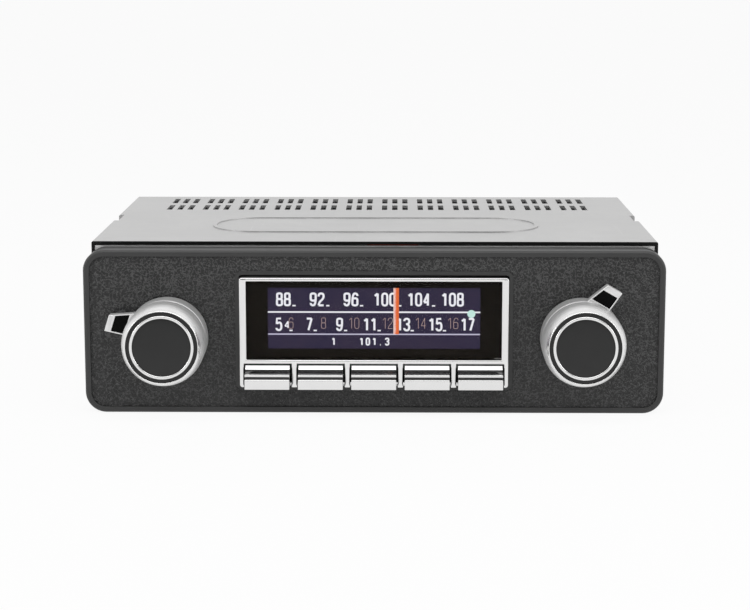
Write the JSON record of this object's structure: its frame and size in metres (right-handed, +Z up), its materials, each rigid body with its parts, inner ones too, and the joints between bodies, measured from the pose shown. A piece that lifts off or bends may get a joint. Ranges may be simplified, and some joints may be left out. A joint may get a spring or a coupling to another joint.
{
  "type": "car radio",
  "caption": "Shaft-style car radio with chrome push keys under a lit dial, knobs with finger levers, black grained faceplate, vented sheet-metal case.",
  "frame": {"origin": "centre of the case's underside", "axes": "+X across the radio, -Y the front that faces the driver, +Z up"},
  "size_m": [0.181, 0.149, 0.0536],
  "materials": {
    "zinc_cover": "grey galvanised sheet, satin",
    "bright_zinc": "bright zinc-plated sheet",
    "grained_black": "black plastic, leather grain with a smooth rim",
    "foam": "black closed-cell foam",
    "chrome": "polished chrome plating",
    "smoked_lens": "smoked clear plastic, polished",
    "display": "dark display glass with lit figures",
    "black_moulding": "black moulded plastic",
    "gloss_black": "black plastic, satin gloss",
    "steel": "nickel-plated steel",
    "cast_zinc": "die-cast, matt",
    "aluminium": "extruded, satin",
    "board_green": "green circuit board",
    "tinned_steel": "tin-plated can",
    "component_black": "black moulded component",
    "capacitor_sleeve": "dark blue sleeve, bare aluminium top",
    "flat_cable": "white flat cable",
    "brass": "gold-flashed contacts",
    "socket_insert": "red and white plastic inserts",
    "fuse_plastic": "translucent coloured plastic"
  },
  "bodies": {
    "case": {"chassis_tray": "bright_zinc", "top_cover": "zinc_cover", "weld_nuts": "steel", "rear_panel": "bright_zinc", "small_screws": "steel", "faceplate": "grained_black", "face_gasket": "foam", "nose_frame": "chrome", "dial_lens": "smoked_lens", "display_module": "display", "display_board": "board_green", "nose_housing": "black_moulding", "key_switches": "component_black", "shaft_nuts": "steel", "control_boards": "board_green", "push_switches": "component_black", "main_board": "board_green", "board_standoffs": "brass", "tuner_can": "tinned_steel", "amplifier_chip": "component_black", "capacitors": "capacitor_sleeve", "small_chips": "component_black", "display_cable": "flat_cable", "control_cables": "flat_cable", "aerial_socket": "steel", "wiring_socket": "black_moulding", "socket_contacts": "brass", "line_sockets": "steel", "line_socket_inserts": "socket_insert", "blade_fuse": "fuse_plastic", "heat_sink": "aluminium", "support_stud": "steel", "left_control_housing": "cast_zinc", "right_control_housing": "cast_zinc"},
    "left_lever_ring": {"left_outer_shaft": "steel", "left_lever": "chrome", "left_lever_inlay": "gloss_black"},
    "left_turning_disc": {"left_rotor": "component_black"},
    "left_knob": {"left_inner_shaft": "steel", "left_knob_shell": "chrome", "left_knob_insert": "gloss_black", "left_knob_ring": "chrome"},
    "right_lever_ring": {"right_outer_shaft": "steel", "right_lever": "chrome", "right_lever_inlay": "gloss_black"},
    "right_turning_disc": {"right_rotor": "component_black"},
    "right_knob": {"right_inner_shaft": "steel", "right_knob_shell": "chrome", "right_knob_insert": "gloss_black", "right_knob_ring": "chrome"},
    "push_key_1": {"key_1": "chrome", "key_plunger_1": "black_moulding"},
    "push_key_2": {"key_2": "chrome", "key_plunger_2": "black_moulding"},
    "push_key_3": {"key_3": "chrome", "key_plunger_3": "black_moulding"},
    "push_key_4": {"key_4": "chrome", "key_plunger_4": "black_moulding"},
    "push_key_5": {"key_5": "chrome", "key_plunger_5": "black_moulding"}
  },
  "joints": [
    {"name": "left_lever_turn", "type": "hinge", "parent": "case", "child": "left_lever_ring", "pos_m": [-0.06425, -0.068, 0.0246], "axis": [0, -1, 0], "range_deg": [-207.6, 62.4]},
    {"name": "left_knob_turn", "type": "hinge", "parent": "case", "child": "left_turning_disc", "pos_m": [-0.06425, -0.068, 0.0246], "axis": [0, -1, 0], "continuous": true},
    {"name": "left_knob_push", "type": "slide", "parent": "left_turning_disc", "child": "left_knob", "axis": [0, 1, 0], "range_m": [0, 0.0006], "stiffness_N_per_m": 1500, "springref_m": -0.0004},
    {"name": "right_lever_turn", "type": "hinge", "parent": "case", "child": "right_lever_ring", "pos_m": [0.06425, -0.068, 0.0246], "axis": [0, -1, 0], "range_deg": [-104.8, 165.2]},
    {"name": "right_knob_turn", "type": "hinge", "parent": "case", "child": "right_turning_disc", "pos_m": [0.06425, -0.068, 0.0246], "axis": [0, -1, 0], "continuous": true},
    {"name": "right_knob_push", "type": "slide", "parent": "right_turning_disc", "child": "right_knob", "axis": [0, 1, 0], "range_m": [0, 0.0006], "stiffness_N_per_m": 1500, "springref_m": -0.0004},
    {"name": "key_1_push", "type": "slide", "parent": "case", "child": "push_key_1", "axis": [0, 1, 0], "range_m": [0, 0.0008], "stiffness_N_per_m": 1000, "springref_m": -0.0004},
    {"name": "key_2_push", "type": "slide", "parent": "case", "child": "push_key_2", "axis": [0, 1, 0], "range_m": [0, 0.0008], "stiffness_N_per_m": 1000, "springref_m": -0.0004},
    {"name": "key_3_push", "type": "slide", "parent": "case", "child": "push_key_3", "axis": [0, 1, 0], "range_m": [0, 0.0008], "stiffness_N_per_m": 1000, "springref_m": -0.0004},
    {"name": "key_4_push", "type": "slide", "parent": "case", "child": "push_key_4", "axis": [0, 1, 0], "range_m": [0, 0.0008], "stiffness_N_per_m": 1000, "springref_m": -0.0004},
    {"name": "key_5_push", "type": "slide", "parent": "case", "child": "push_key_5", "axis": [0, 1, 0], "range_m": [0, 0.0008], "stiffness_N_per_m": 1000, "springref_m": -0.0004}
  ]
}
